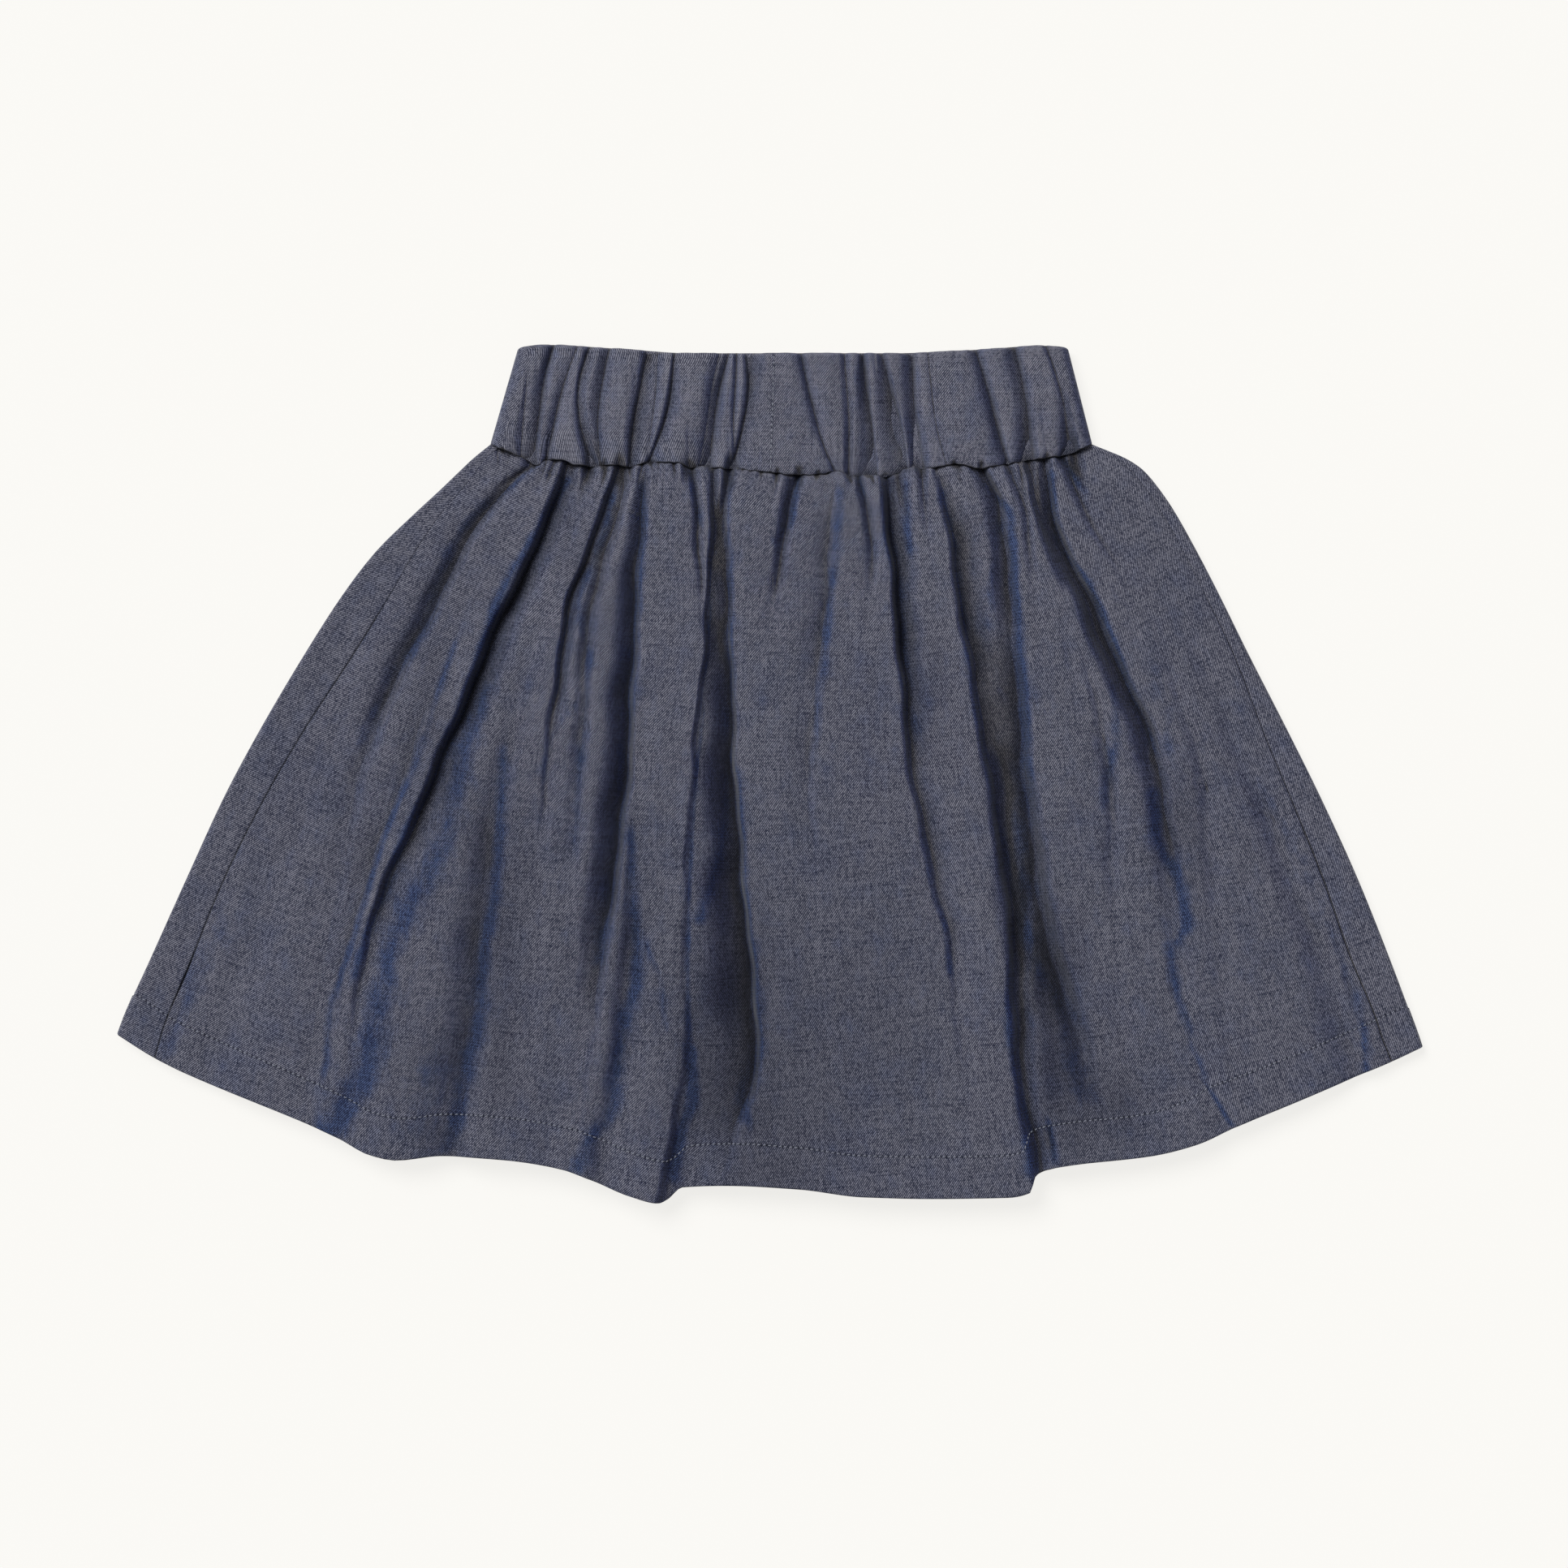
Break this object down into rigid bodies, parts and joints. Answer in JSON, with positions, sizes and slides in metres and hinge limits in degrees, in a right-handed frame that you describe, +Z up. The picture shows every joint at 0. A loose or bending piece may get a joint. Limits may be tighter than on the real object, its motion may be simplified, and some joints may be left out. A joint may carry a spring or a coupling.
{
  "type": "skirt",
  "caption": "Child's gathered knee-length skirt in blue-grey twill with an elastic casing waistband, laid flat.",
  "frame": {"origin": "on the surface that the skirt lies on, under the middle of its outline", "axes": "+X to the right of the front as seen from above, +Y towards the waist, +Z up, off the surface"},
  "size_m": [0.4526, 0.2973, 0.013],
  "materials": {
    "front_cloth": "light twill, blue warp and grey-tan weft, matt with a faint sheen",
    "back_cloth": "light twill, blue warp and grey-tan weft, matt with a faint sheen",
    "casing": "the same twill, drawn up over wide elastic"
  },
  "bodies": {
    "root": {"front_panel": "front_cloth", "back_panel": "back_cloth", "waistband": "casing"}
  },
  "joints": []
}
